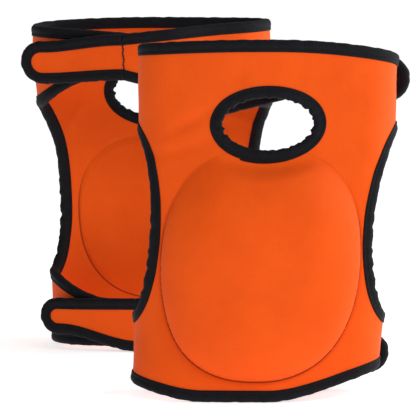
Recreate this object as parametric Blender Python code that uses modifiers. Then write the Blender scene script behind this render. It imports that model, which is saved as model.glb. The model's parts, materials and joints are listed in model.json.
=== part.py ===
"""A pair of neoprene knee pads: two identical sleeves, each with a domed front
panel, an eyelet, side cut-outs and two hook-and-loop bands behind the knee.

Each pad is modelled in its own frame: x across the front panel, y from the
front panel towards the back of the knee, z up.  A place on a pad is given by
s, the distance round the girth from the front centre (positive to +x), the
height z, and w, the distance outwards from the middle of the cloth.
"""
import math

import bmesh
import bpy
import numpy as np

# Overall size of one pad (metres)
HEIGHT = 0.2525
HALF_WIDTH = 0.0862         # middle of the cloth at mid height
HALF_DEPTH = 0.038
FRONT_RADIUS = 0.220        # gentle crown of the front panel and of the back
LEAN = 0.050                # sideways lean of the sewn sleeve, x per z
WIDTH_TAPER = 0.24          # the sleeve widens upwards: share of its width per metre

# Cloth, tape and fastener thicknesses
CLOTH = 0.0043              # full neoprene laminate
PLY = 0.0020                # one of the two layers of the front panel
GAP = 0.0003
TAPE = 0.0011
TAPE_LEG = 0.0085           # how far the folded tape reaches over the cloth
BAND_CLEARANCE = 0.0004     # tape to cloth along the straight bands
CURVE_CLEARANCE = 0.0011    # tape to cloth round the cut-outs and eyelet
INSET = 0.0022              # cloth edge behind the nose of the tape
PATCH = 0.0012              # hook and loop tapes

# Hem: flat under the middle, then rising to each side.  Top: falling to each
# side.  The soft sleeves stand a little differently, so each has its own pair of
# amounts, at the wing side and at the flap side.
HEM_FLAT = (-0.036, 0.010)  # in s
RIGHT_PAD_HEM = (0.010, 0.0195)
LEFT_PAD_HEM = (0.010, 0.0030)
RIGHT_PAD_TOP = (0.005, 0.013)
LEFT_PAD_TOP = (0.0, 0.0045)

# Side cut-outs: half ellipses centred on the side of the sleeve, squarer below
CUT_CENTRE_Z = 0.1225
CUT_HALF_HEIGHT = 0.0625
CUT_DEPTH = 0.0248
CUT_SQUARENESS = 0.75       # power of the cosine below the waist; 1 is an ellipse

# Eyelet above the dome
EYELET_Z = 0.194
EYELET_HALF_WIDTH = 0.0312
EYELET_HALF_HEIGHT = 0.0182

# Dome of the front panel
DOME_Z = 0.096
DOME_HALF_WIDTH = 0.067
DOME_HALF_HEIGHT = 0.081
DOME_RISE = 0.0215
DOME_SQUARENESS = 2.4
LINING_RISE = 0.0030

# Foam between the two layers: the moulded core and the comfort layer inside it,
# each as middle height, half width, half height, rise outwards, rise inwards, seat
FOAM_CORE = (0.086, 0.060, 0.062, 0.0165, 0.0, 0.0012)
COMFORT_FOAM = (0.092, 0.054, 0.055, 0.0, -0.0030, 0.0008)

# Bands behind the knee
LAP = 0.0079                # how far the long wing lies outside the short flap
RAMP = (0.054, 0.096)       # where the long wing steps outwards to that lap
SEAM = 0.1245               # length of the long wing, side of the sleeve to seam
TAB_BENT = 0.035            # part of the tab that follows the flap
TAB_LENGTH = 0.0770
FLAP_LENGTH = 0.105
FLAP_CORNER = 0.010
SEAM_STITCH_WIDTH = 0.0020

# Placement: the pads stand back to back, one turned half round
PAD_X = 0.038
PAD_Y = 0.180
AXIS_STANDOFF = 0.0047      # hinge axis outside the middle of the cloth

# Facets
FRONT_CELLS = 10
CORNER_CELLS = 4
SPLIT_CELL = 0.0012         # short facet next to the side split, square to it
BACK_CELLS = 5
CUT_TURNS = [math.radians(turn) for turn in
             (-90, -83, -73, -60, -45, -30, -15, 0, 15, 30, 45, 60, 73, 83, 90)]

# Worked out from the above: the girth is four gentle arcs and two tight ones
SLOPE = (FRONT_RADIUS - HALF_WIDTH) / (FRONT_RADIUS - HALF_DEPTH)
FRONT_ANGLE = math.pi / 2 - 2 * math.atan(SLOPE)
SIDE_RADIUS = FRONT_RADIUS - (FRONT_RADIUS - HALF_DEPTH) / math.cos(FRONT_ANGLE)
SIDE_CENTRE_X = HALF_WIDTH - SIDE_RADIUS
FRONT_ARC = FRONT_RADIUS * FRONT_ANGLE
CORNER_ARC = SIDE_RADIUS * (math.pi / 2 - FRONT_ANGLE)
QUARTER = FRONT_ARC + CORNER_ARC        # front centre to the side of the sleeve
HALF_GIRTH = 2 * QUARTER
SPLIT = QUARTER - GAP / 2               # where the front panel ends at the side

ORANGE = (0.93, 0.13, 0.008)
ORANGE_LINING = (0.62, 0.075, 0.006)
BLACK = (0.011, 0.012, 0.015)
MATERIALS = {
    "neoprene_orange": (ORANGE, 0.75),
    "lining_orange": (ORANGE_LINING, 0.85),
    "binding_black": (BLACK, 0.60),
    "eva_foam": ((0.035, 0.035, 0.038), 0.80),
    "comfort_foam": ((0.55, 0.56, 0.58), 0.85),
    "hook_tape": ((0.014, 0.014, 0.016), 0.70),
    "loop_tape": ((0.020, 0.020, 0.022), 0.90),
    "thread": ((0.009, 0.009, 0.011), 0.50),
}


# ---------------------------------------------------------------- geometry

def smoothstep(t):
    t = min(1.0, max(0.0, t))
    return t * t * (3 - 2 * t)


def girth(s):
    """Point and outward normal on the girth, s round from the front centre."""
    side = -1 if s < 0 else 1
    d = abs(s)
    if d <= FRONT_ARC:
        turn = d / FRONT_RADIUS
        x = FRONT_RADIUS * math.sin(turn)
        y = FRONT_RADIUS * (1 - math.cos(turn))
    elif d <= FRONT_ARC + 2 * CORNER_ARC:
        turn = FRONT_ANGLE + (d - FRONT_ARC) / SIDE_RADIUS
        x = SIDE_CENTRE_X + SIDE_RADIUS * math.sin(turn)
        y = HALF_DEPTH - SIDE_RADIUS * math.cos(turn)
    else:
        turn = math.pi + (d - HALF_GIRTH) / FRONT_RADIUS
        x = FRONT_RADIUS * math.sin(turn)
        y = 2 * HALF_DEPTH - FRONT_RADIUS * (1 + math.cos(turn))
    return side * x, y, side * math.sin(turn), -math.cos(turn)


def width_at(z):
    return 1 + WIDTH_TAPER * (z - HEIGHT / 2)


def lean(x, y, z):
    """Carry a point of an upright sleeve to the one that leans and widens upwards."""
    return (x * width_at(z) + LEAN * (z - HEIGHT / 2), y, z)


def on_front(s, z, w):
    """A point on the front panel."""
    x, y, nx, ny = girth(s)
    return lean(x + w * nx, y + w * ny, z)


def wing_line(u):
    """The long wing and its tab, u round from the left side of the sleeve."""
    bent = min(u, SEAM + TAB_BENT)
    x, y, nx, ny = girth(-QUARTER - bent)
    lift = LAP * smoothstep((u - RAMP[0]) / (RAMP[1] - RAMP[0]))
    beyond = u - bent
    return x + lift * nx + beyond * ny, y + lift * ny - beyond * nx, nx, ny


def flap_line(u):
    """The short flap, u round from the right side of the sleeve."""
    return girth(QUARTER + u)


def faceted(line, stations):
    """The surface over a line sampled at stations and straight between them,
    so that pieces that lie on one another share their facets."""
    samples = np.array([line(u) for u in stations])

    def surface(u, z, w):
        x, y, nx, ny = (float(np.interp(u, stations, samples[:, i])) for i in range(4))
        return lean(x + w * nx, y + w * ny, z)

    return surface


CORNER_STATIONS = [0, SPLIT_CELL] + list(np.linspace(0, CORNER_ARC, CORNER_CELLS + 1))[1:]
BACK_STATIONS = list(np.linspace(CORNER_ARC, QUARTER, BACK_CELLS + 1))[1:]
WING_STATIONS = CORNER_STATIONS + BACK_STATIONS + [
    (QUARTER + SEAM) / 2, SEAM, SEAM + TAB_BENT / 2, SEAM + TAB_BENT, SEAM + TAB_LENGTH]
FLAP_STATIONS = CORNER_STATIONS + BACK_STATIONS + [FLAP_LENGTH + GAP]
on_wing = faceted(wing_line, WING_STATIONS)
on_flap = faceted(flap_line, FLAP_STATIONS)


def top_line(drops):
    """Height of the upper edge against s, for the drop at either side."""
    return lambda s: HEIGHT - drops[s > 0] * (s / QUARTER) ** 2


def hem_line(rises):
    """Height of the lower edge against s, for the rise at either side."""
    def height(s):
        beyond = HEM_FLAT[0] - s if s < 0 else s - HEM_FLAT[1]
        flat = -HEM_FLAT[0] if s < 0 else HEM_FLAT[1]
        return rises[s > 0] * smoothstep(beyond / (QUARTER - flat))
    return height


def cut_edge(turn):
    """Nose of the tape round a side cut-out and the way into the cloth there."""
    power = CUT_SQUARENESS if turn < 0 else 1
    across = max(0.0, math.cos(turn))
    s = QUARTER - CUT_DEPTH * across ** power
    z = CUT_CENTRE_Z + CUT_HALF_HEIGHT * math.sin(turn)
    into = np.array([-CUT_HALF_HEIGHT * across ** (2 - power), power * CUT_DEPTH * math.sin(turn)])
    return s, z, into / np.linalg.norm(into)


def cloth_edge(turn):
    s, z, into = cut_edge(turn)
    return s + INSET * into[0], z + INSET * into[1]


def dome(s, z):
    """Rise of the outer cloth over the pad: steep below, soft towards the eyelet."""
    across = abs(s) / DOME_HALF_WIDTH
    along = abs(z - DOME_Z) / DOME_HALF_HEIGHT
    radius = (across ** DOME_SQUARENESS + along ** DOME_SQUARENESS) ** (1 / DOME_SQUARENESS)
    if radius >= 1:
        return 0.0
    softness = 0.62 + 0.9 * smoothstep((z - DOME_Z) / DOME_HALF_HEIGHT)
    ring = math.hypot(s / (EYELET_HALF_WIDTH + TAPE_LEG),
                      (z - EYELET_Z) / (EYELET_HALF_HEIGHT + TAPE_LEG))
    return DOME_RISE * (1 - radius ** 2.6) ** softness * smoothstep((ring - 1.25) / 0.5)


def lining_dip(s, z):
    radius_sq = (s / (DOME_HALF_WIDTH * 0.92)) ** 2 + ((z - DOME_Z) / (DOME_HALF_HEIGHT * 0.84)) ** 2
    return LINING_RISE * max(0.0, 1 - radius_sq)


# ---------------------------------------------------------------- builders

def new_material(name, colour, roughness):
    material = bpy.data.materials.new(name)
    material.use_nodes = True
    shader = material.node_tree.nodes["Principled BSDF"]
    shader.inputs["Base Color"].default_value = (*colour, 1)
    shader.inputs["Roughness"].default_value = roughness
    shader.inputs["Metallic"].default_value = 0.0
    material.diffuse_color = (*colour, 1)
    return material


def new_object(pad, name, mesh, slot, hinge=None):
    """Add a piece that hangs from the pad or from one of its hinges."""
    piece = bpy.data.objects.new(f"{pad['name']}_{name}", mesh)
    pad["collection"].objects.link(piece)
    mesh.materials.append(bpy.data.materials[slot])
    mesh.shade_smooth()
    mesh.set_sharp_from_angle(angle=math.radians(40))
    piece.parent = pad["hinges"][hinge] if hinge else pad["empty"]
    if hinge:
        piece.location = -piece.parent.location
        if piece.parent.parent != pad["empty"]:
            piece.location -= piece.parent.parent.location
    return piece


def grid_mesh(name, rows, closed=False):
    """An open surface through rows of points; closed joins the last row to the first."""
    width = len(rows[0])
    mesh = bpy.data.meshes.new(name)
    bm = bmesh.new()
    verts = [[bm.verts.new(point) for point in row] for row in rows]
    if closed:
        verts.append(verts[0])
    for lower, upper in zip(verts, verts[1:]):
        for i in range(width - 1):
            bm.faces.new((lower[i], lower[i + 1], upper[i + 1], upper[i]))
    bm.normal_update()
    bm.to_mesh(mesh)
    bm.free()
    return mesh


def solidify(piece, thickness):
    modifier = piece.modifiers.new("thickness", "SOLIDIFY")
    modifier.thickness = thickness
    modifier.offset = 0
    modifier.use_even_offset = True
    modifier.use_quality_normals = True


def sheet(pad, name, rows, thickness, slot, hinge=None):
    piece = new_object(pad, name, grid_mesh(name, rows), slot, hinge)
    solidify(piece, thickness)
    return piece


def binding(pad, name, surface, edge, clearance, hinge=None, closed=False):
    """Tape folded over a cloth edge.  Each edge point is (s, z, way into the cloth)."""
    half = CLOTH / 2 + clearance + TAPE / 2
    section = [(TAPE_LEG, -half), (TAPE / 2, -half), (TAPE / 2, half), (TAPE_LEG, half)]
    rows = [[surface(s + e * into[0], z + e * into[1], w) for e, w in section]
            for s, z, into in edge]
    piece = new_object(pad, name, grid_mesh(name, rows, closed), "binding_black", hinge)
    solidify(piece, TAPE)
    return piece


def foam(pad, name, sizes, slot):
    """A closed pad between the layers: a squashed sphere laid on the girth."""
    centre_z, half_width, half_height, outer, inner, seat = sizes
    mesh = bpy.data.meshes.new(name)
    bm = bmesh.new()
    bmesh.ops.create_uvsphere(bm, u_segments=14, v_segments=8, radius=1)
    for vert in bm.verts:
        across, out, up = vert.co.x, vert.co.z, vert.co.y
        rise = outer * out if out > 0 else inner * -out
        vert.co = on_front(across * half_width, centre_z + up * half_height, seat + rise)
    bm.to_mesh(mesh)
    bm.free()
    return new_object(pad, name, mesh, slot)


def body_columns(edge):
    """Places across the front panel out to s = edge.  The middle ones keep
    their place and the outer ones close up where a cut-out narrows the panel."""
    front = np.linspace(-FRONT_ARC, FRONT_ARC, FRONT_CELLS + 1)
    corner = np.linspace(FRONT_ARC, SPLIT, CORNER_CELLS + 1)[1:]
    corner = np.insert(corner, CORNER_CELLS - 1, SPLIT - SPLIT_CELL)
    columns = np.concatenate((-corner[::-1], front, corner))
    kept = FRONT_ARC * (1 - 2 / FRONT_CELLS)
    outer = np.maximum(abs(columns) - kept, 0) * (edge - kept) / (SPLIT - kept)
    return np.sign(columns) * (np.minimum(abs(columns), kept) + outer)


def panel_rows(pad, bulge, seat):
    """Rows of the front panel: lower band, between the cut-outs, upper band."""
    low_z, high_z = cloth_edge(-math.pi / 2)[1], cloth_edge(math.pi / 2)[1]
    rows = []
    for t in (0, 0.17, 0.31, 0.62):
        row = [(s, pad["hem"](s) + INSET) for s in body_columns(SPLIT)]
        rows.append([(s, z + t * (low_z - z)) for s, z in row])
    for turn in CUT_TURNS:
        s_edge, z = cloth_edge(turn)
        rows.append([(s, z) for s in body_columns(min(s_edge, SPLIT))])
    for t in (0.55, 1):
        rows.append([(s, high_z + t * (pad["top"](s) - INSET - high_z)) for s in body_columns(SPLIT)])
    return [[on_front(s, z, seat + bulge(s, z)) for s, z in row] for row in rows]


def eyelet_cutter(pad):
    """The hole in the cloth; the tape's nose stands a little inside it."""
    mesh = bpy.data.meshes.new("eyelet_cutter")
    bm = bmesh.new()
    bmesh.ops.create_cone(bm, cap_ends=True, segments=24, radius1=1, radius2=1, depth=0.06)
    for vert in bm.verts:
        x, y, z = vert.co
        vert.co = (x * (EYELET_HALF_WIDTH + INSET) * width_at(EYELET_Z), -z,
                   y * (EYELET_HALF_HEIGHT + INSET))
    bmesh.ops.recalc_face_normals(bm, faces=bm.faces)
    bm.to_mesh(mesh)
    bm.free()
    cutter = bpy.data.objects.new(f"{pad['name']}_eyelet_cutter", mesh)
    pad["cutters"].objects.link(cutter)
    cutter.parent = pad["empty"]
    cutter.location = lean(0, 0, EYELET_Z)
    cutter.hide_render = True
    cutter.display_type = "WIRE"
    return cutter


def cut(piece, cutter):
    modifier = piece.modifiers.new("eyelet", "BOOLEAN")
    modifier.operation = "DIFFERENCE"
    modifier.object = cutter


# ---------------------------------------------------------------- sub-parts

def front_panel(pad):
    """Outer shell, lining and the two foam layers sealed between them."""
    seat = (PLY + GAP) / 2
    cutter = eyelet_cutter(pad)
    shell = sheet(pad, "outer_shell", panel_rows(pad, dome, seat), PLY, "neoprene_orange")
    cut(shell, cutter)
    lining = sheet(pad, "inner_lining", panel_rows(pad, lambda s, z: -lining_dip(s, z), -seat),
                   PLY, "lining_orange")
    cut(lining, cutter)
    foam(pad, "foam_core", FOAM_CORE, "eva_foam")
    foam(pad, "comfort_foam", COMFORT_FOAM, "comfort_foam")


def front_bindings(pad):
    columns = body_columns(SPLIT)
    down, up = (0, -1), (0, 1)
    for name, edge, into in (("top_binding", pad["top"], down), ("bottom_binding", pad["hem"], up)):
        binding(pad, name, on_front, [(s, edge(s), into) for s in columns], BAND_CLEARANCE)
    for side, name in ((-1, "wing_side_binding"), (1, "flap_side_binding")):
        edge = []
        for turn in CUT_TURNS:
            s, z, into = cut_edge(turn)
            edge.append((side * min(s, SPLIT), z, (side * into[0], into[1])))
        binding(pad, name, on_front, edge, CURVE_CLEARANCE)
    ring = []
    for turn in np.linspace(0, 2 * math.pi, 20, endpoint=False):
        across, up_way = math.cos(turn), math.sin(turn)
        out = np.array([across * EYELET_HALF_HEIGHT, up_way * EYELET_HALF_WIDTH])
        ring.append((across * EYELET_HALF_WIDTH, EYELET_Z + up_way * EYELET_HALF_HEIGHT,
                     out / np.linalg.norm(out)))
    binding(pad, "eyelet_binding", on_front, ring, CURVE_CLEARANCE, closed=True)


def between(stations, start, end):
    """start, end and every station between them."""
    return [start] + [u for u in stations if start + GAP < u < end - GAP] + [end]


def wing(pad, name, low, high):
    """A long wing: its cloth and the tape along its two edges."""
    hinge = f"{name}_strap"
    places = between(WING_STATIONS, GAP / 2, SEAM - GAP / 2)
    cloth = [[on_wing(u, z, 0) for z in np.linspace(low(u) + INSET, high(u) - INSET, 3)]
             for u in places]
    sheet(pad, f"{name}_strap", cloth, CLOTH, "neoprene_orange", hinge)
    binding(pad, f"{name}_strap_bottom_binding", on_wing, [(u, low(u), (0, 1)) for u in places],
            BAND_CLEARANCE, hinge)
    binding(pad, f"{name}_strap_top_binding", on_wing, [(u, high(u), (0, -1)) for u in places],
            BAND_CLEARANCE, hinge)
    stitch_end = SEAM - 0.0012
    stitch = [[on_wing(u, z, CLOTH / 2 + GAP + 0.0004)
               for z in (low(u) + TAPE_LEG + 0.001, high(u) - TAPE_LEG - 0.001)]
              for u in (stitch_end - SEAM_STITCH_WIDTH, stitch_end)]
    sheet(pad, f"{name}_seam_stitch", stitch, 0.0008, "thread", hinge)


def rounded_band(stations, start, end, low, high, radius):
    """Rows of cloth and the nose line of the tape for a band with a rounded end.
    With a radius of None the end is a half circle."""
    base = end - (radius or (high(end) - low(end)) / 2)
    radius = end - base
    low_z, high_z = low(base) + radius, high(base) - radius
    places = between(stations, start, base)
    rows = [(u, low(u) + INSET, high(u) - INSET) for u in places]
    for turn in (25, 50, 78):
        rise = (radius - INSET) * math.cos(math.radians(turn))
        reach = (radius - INSET) * math.sin(math.radians(turn))
        rows.append((base + reach, low_z - rise, high_z + rise))
    edge = [(u, low(u), (0, 1)) for u in places[:-1]]
    tips = [(low_z, 0)] if high_z - low_z < GAP else [(low_z, 0), (high_z, 0)]
    arc = [(low_z, turn) for turn in (-90, -67, -45, -22)] + tips
    for centre_z, turn in arc + [(high_z, turn) for turn in (22, 45, 67, 90)]:
        out = math.cos(math.radians(turn)), math.sin(math.radians(turn))
        edge.append((base + radius * out[0], centre_z + radius * out[1], (-out[0], -out[1])))
    edge += [(u, high(u), (0, -1)) for u in places[-2::-1]]
    return rows, edge


def tab(pad, name, low, high):
    """The fastening tab sewn on the long wing, with its hook tape inside."""
    hinge = f"{name}_tab"
    rows, edge = rounded_band(WING_STATIONS, SEAM + GAP / 2, SEAM + TAB_LENGTH, low, high, None)
    cloth = [[on_wing(u, z, 0) for z in np.linspace(z0, z1, 3)] for u, z0, z1 in rows]
    sheet(pad, f"{name}_tab", cloth, CLOTH, "neoprene_orange", hinge)
    binding(pad, f"{name}_tab_binding", on_wing, edge, BAND_CLEARANCE, hinge)
    seat = -(CLOTH / 2 + GAP + PATCH / 2)
    margin = TAPE_LEG + 0.0012
    places = between(WING_STATIONS, SEAM + 0.006, SEAM + 0.048)
    hooks = [[on_wing(u, z, seat) for z in (low(u) + margin, high(u) - margin)] for u in places]
    sheet(pad, f"{name}_hook_patch", hooks, PATCH, "hook_tape", hinge)


def flap(pad, name, low, high):
    """The short flap from the right side, with its loop tape outside."""
    hinge = f"{name}_flap"
    rows, edge = rounded_band(FLAP_STATIONS, GAP / 2, FLAP_LENGTH, low, high, FLAP_CORNER)
    cloth = [[on_flap(u, z, 0) for z in np.linspace(z0, z1, 3)] for u, z0, z1 in rows]
    sheet(pad, f"{name}_flap", cloth, CLOTH, "neoprene_orange", hinge)
    binding(pad, f"{name}_flap_binding", on_flap, edge, BAND_CLEARANCE, hinge)
    seat = CLOTH / 2 + GAP + PATCH / 2
    margin = TAPE_LEG + 0.0012
    places = between(FLAP_STATIONS, 0.040, FLAP_LENGTH - 0.012)
    loops = [[on_flap(u, z, seat) for z in (low(u) + margin, high(u) - margin)] for u in places]
    sheet(pad, f"{name}_loop_patch", loops, PATCH, "loop_tape", hinge)


def line_between(start, end, length):
    """Height along a band: level where it leaves the side, then straight."""
    def height(u):
        t = u / length
        return start + (end - start) * (t * t * (1.5 - 0.5 * t) if t < 1 else t)
    return height


def settling(start, end, place=0.0):
    """Height along a band that eases to its final height in 60 mm from place."""
    return lambda u: start + (end - start) * smoothstep((u - place) / 0.06)


def bands(pad):
    top_left, top_right = pad["top"](-QUARTER), pad["top"](QUARTER)
    cut_low, cut_high = CUT_CENTRE_Z - CUT_HALF_HEIGHT, CUT_CENTRE_Z + CUT_HALF_HEIGHT
    wing_foot, flap_foot = pad["hem"](-QUARTER), pad["hem"](QUARTER)
    wing(pad, "upper", line_between(cut_high, 0.208, SEAM), line_between(top_left, 0.243, SEAM))
    wing(pad, "lower", line_between(wing_foot, 0.0, SEAM), line_between(cut_low, 0.041, SEAM))
    tab(pad, "upper", settling(0.208, 0.2045, SEAM), settling(0.243, 0.2370, SEAM))
    tab(pad, "lower", settling(0.0, 0.012, SEAM), settling(0.041, 0.040, SEAM))
    flap(pad, "upper", settling(cut_high, 0.2075), line_between(top_right, 0.242, FLAP_LENGTH))
    flap(pad, "lower", line_between(flap_foot, 0.003, FLAP_LENGTH), settling(cut_low, 0.040))


def hinge_empties(pad):
    """One empty on the axis of each moving piece, at mid height of its band."""
    side = HALF_WIDTH + AXIS_STANDOFF
    x, y, nx, ny = wing_line(SEAM)
    seam = (x + AXIS_STANDOFF * nx, y + AXIS_STANDOFF * ny)
    for band, z in (("upper", 0.218), ("lower", 0.026)):
        places = {"strap": (-side, HALF_DEPTH), "flap": (side, HALF_DEPTH), "tab": seam}
        for name, (hinge_x, hinge_y) in places.items():
            empty = bpy.data.objects.new(f"{pad['name']}_{band}_{name}_hinge", None)
            empty.empty_display_size = 0.02
            pad["collection"].objects.link(empty)
            empty.parent = pad["empty"]
            empty.location = lean(hinge_x, hinge_y, z)
            pad["hinges"][f"{band}_{name}"] = empty
        tab_hinge, strap_hinge = pad["hinges"][f"{band}_tab"], pad["hinges"][f"{band}_strap"]
        tab_hinge.parent = strap_hinge
        tab_hinge.location = tab_hinge.location - strap_hinge.location


def knee_pad(name, location, turn, hem_rises, top_drops, collection, cutters):
    empty = bpy.data.objects.new(f"{name}_pad", None)
    empty.empty_display_size = 0.05
    empty.location = location
    empty.rotation_euler = (0, 0, turn)
    collection.objects.link(empty)
    pad = {"name": name, "empty": empty, "collection": collection, "cutters": cutters, "hinges": {},
           "hem": hem_line(hem_rises), "top": top_line(top_drops)}
    hinge_empties(pad)
    front_panel(pad)
    front_bindings(pad)
    bands(pad)


def main():
    for leftover in list(bpy.data.objects):
        bpy.data.objects.remove(leftover, do_unlink=True)
    for slot, (colour, roughness) in MATERIALS.items():
        new_material(slot, colour, roughness)
    collection = bpy.data.collections.new("knee_pads")
    cutters = bpy.data.collections.new("cutters")
    for group in (collection, cutters):
        bpy.context.scene.collection.children.link(group)
    knee_pad("right", (PAD_X, -PAD_Y, 0), 0, RIGHT_PAD_HEM, RIGHT_PAD_TOP, collection, cutters)
    knee_pad("left", (-PAD_X, PAD_Y, 0), math.pi, LEFT_PAD_HEM, LEFT_PAD_TOP, collection, cutters)
    bpy.context.view_layer.update()


main()
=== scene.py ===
"""The knee pads as they look: knit-faced neoprene, folded stretch tape, foam,
hook and loop.  Every cloth piece is made here at a fine pitch on the same
surface formulas as the CAD model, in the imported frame.
"""
import json
import math

import bmesh
import bpy
import numpy as np
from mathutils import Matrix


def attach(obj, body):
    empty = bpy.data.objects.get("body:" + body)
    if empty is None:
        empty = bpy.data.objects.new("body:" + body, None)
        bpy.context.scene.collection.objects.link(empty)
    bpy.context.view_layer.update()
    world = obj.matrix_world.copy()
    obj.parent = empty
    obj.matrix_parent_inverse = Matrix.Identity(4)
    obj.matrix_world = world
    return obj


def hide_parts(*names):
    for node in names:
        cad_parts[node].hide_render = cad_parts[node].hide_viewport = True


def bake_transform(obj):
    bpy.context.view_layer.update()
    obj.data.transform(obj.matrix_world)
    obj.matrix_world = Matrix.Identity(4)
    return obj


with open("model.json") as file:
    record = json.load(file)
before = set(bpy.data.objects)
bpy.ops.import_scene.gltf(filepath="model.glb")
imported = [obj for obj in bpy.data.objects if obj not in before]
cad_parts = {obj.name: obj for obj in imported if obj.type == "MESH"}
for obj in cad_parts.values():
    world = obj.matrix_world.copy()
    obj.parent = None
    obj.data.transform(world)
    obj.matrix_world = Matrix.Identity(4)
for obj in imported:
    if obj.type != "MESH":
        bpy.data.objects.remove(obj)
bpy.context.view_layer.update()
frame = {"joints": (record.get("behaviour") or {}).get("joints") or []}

# ---------------------------------------------------------------- dimensions (metres), as in the CAD model
HEIGHT = 0.2525
HALF_WIDTH = 0.0862
HALF_DEPTH = 0.038
FRONT_RADIUS = 0.220
LEAN = 0.050
WIDTH_TAPER = 0.24
CLOTH = 0.0043
PLY = 0.0020
PLY_GAP = 0.0003
TAPE_LEG = 0.0085
INSET = 0.0022
PATCH = 0.0012
HEM_FLAT = (-0.036, 0.010)
HEM_RISES = {"right": (0.010, 0.0195), "left": (0.010, 0.0030)}
TOP_DROPS = {"right": (0.005, 0.013), "left": (0.0, 0.0045)}
CUT_CENTRE_Z = 0.1225
CUT_HALF_HEIGHT = 0.0625
CUT_DEPTH = 0.0248
CUT_SQUARENESS = 0.75
EYELET_Z = 0.194
EYELET_HALF_WIDTH = 0.0312
EYELET_HALF_HEIGHT = 0.0182
DOME_Z = 0.096
DOME_HALF_WIDTH = 0.0698
DOME_HALF_HEIGHT = 0.0815
DOME_RISE = 0.0215
DOME_SQUARENESS = 2.4
INNER_HALF_WIDTH = 0.0655
INNER_HALF_HEIGHT = 0.0640
LINING_RISE = 0.0030
LAP = 0.0079
RAMP = (0.054, 0.096)
SEAM = 0.1245
TAB_BENT = 0.035
TAB_LENGTH = 0.0770
FLAP_LENGTH = 0.105
FLAP_CORNER = 0.010
PATCH_MARGIN = TAPE_LEG + 0.0012
HOOK_PATCH = (0.006, 0.048)             # from the seam
LOOP_PATCH = (0.040, FLAP_LENGTH - 0.012)
PATCH_LIFT = 0.0001

# Lower and upper edge of each band: wing at the seam, tab at its tip, flap at its end
WING_ENDS = {"upper": (0.208, 0.243), "lower": (0.0, 0.041)}
TAB_ENDS = {"upper": (0.2045, 0.2370), "lower": (0.012, 0.040)}
FLAP_ENDS = {"upper": (0.2075, 0.242), "lower": (0.003, 0.040)}
SETTLING = 0.06

# Foam: centre height, half width, half height, outer and inner swell, seat
FOAM_CORE = (0.086, 0.060, 0.062, 0.0165, 0.0, 0.0012)
COMFORT_FOAM = (0.092, 0.054, 0.055, 0.0, -0.0030, 0.0008)
FOAM_TURNS, FOAM_RINGS = 72, 20

# Soft dents of the worn-in sleeve: middle (s, z), heading, length, width, depth
FOLDS = ((-0.052, 0.196, 0.50, 0.020, 0.0045, 0.0016), (-0.058, 0.176, 0.25, 0.022, 0.0050, 0.0014),
         (0.055, 0.214, -0.60, 0.020, 0.0050, 0.0013), (-0.020, 0.229, 1.45, 0.012, 0.0060, 0.0010),
         (0.064, 0.176, -0.95, 0.018, 0.0050, 0.0012), (0.020, 0.232, 1.65, 0.012, 0.0070, 0.0009))

# Fineness of the meshes
PITCH = 0.0016
TAPE_PITCH = 0.0018

# Stage and camera
FLOOR_HALF, FLOOR_GLOW = 15.0, 0.66
ROOM_BRIGHT_SIDE, ROOM_DIM, ROOM_BRIGHT = (0.68, -0.42, 0.60), 0.02, 0.56
LAMP_AIM = (0, 0, 0.12)
LAMPS = (("key", (1.3, -1.4, 1.4), 0.8, 12), ("rim", (1.5, 0.35, 0.7), 0.6, 11))
EYE, LOOKING_DOWN, LENS, SENSOR = (0.0, -2.93, 0.387), 5.22, 345.0, 36.0

SLOPE = (FRONT_RADIUS - HALF_WIDTH) / (FRONT_RADIUS - HALF_DEPTH)
FRONT_ANGLE = math.pi / 2 - 2 * math.atan(SLOPE)
SIDE_RADIUS = FRONT_RADIUS - (FRONT_RADIUS - HALF_DEPTH) / math.cos(FRONT_ANGLE)
SIDE_CENTRE_X = HALF_WIDTH - SIDE_RADIUS
FRONT_ARC = FRONT_RADIUS * FRONT_ANGLE
CORNER_ARC = SIDE_RADIUS * (math.pi / 2 - FRONT_ANGLE)
QUARTER = FRONT_ARC + CORNER_ARC
HALF_GIRTH = 2 * QUARTER


# ---------------------------------------------------------------- surfaces of a sleeve

def smoothstep(t):
    t = np.clip(t, 0, 1)
    return t * t * (3 - 2 * t)


def girth(s):
    """Points and outward normals on the girth, s round from the front centre."""
    s = np.asarray(s, float)
    side, d = np.where(s < 0, -1.0, 1.0), abs(s)
    front = d / FRONT_RADIUS
    corner = FRONT_ANGLE + (d - FRONT_ARC) / SIDE_RADIUS
    back = math.pi + (d - HALF_GIRTH) / FRONT_RADIUS
    on_front_arc, on_corner = d <= FRONT_ARC, d <= FRONT_ARC + 2 * CORNER_ARC
    turn = np.select([on_front_arc, on_corner], [front, corner], back)
    x = np.select([on_front_arc, on_corner],
                  [FRONT_RADIUS * np.sin(front), SIDE_CENTRE_X + SIDE_RADIUS * np.sin(corner)],
                  FRONT_RADIUS * np.sin(back))
    y = np.select([on_front_arc, on_corner],
                  [FRONT_RADIUS * (1 - np.cos(front)), HALF_DEPTH - SIDE_RADIUS * np.cos(corner)],
                  2 * HALF_DEPTH - FRONT_RADIUS * (1 + np.cos(back)))
    return side * x, y, side * np.sin(turn), -np.cos(turn)


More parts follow.
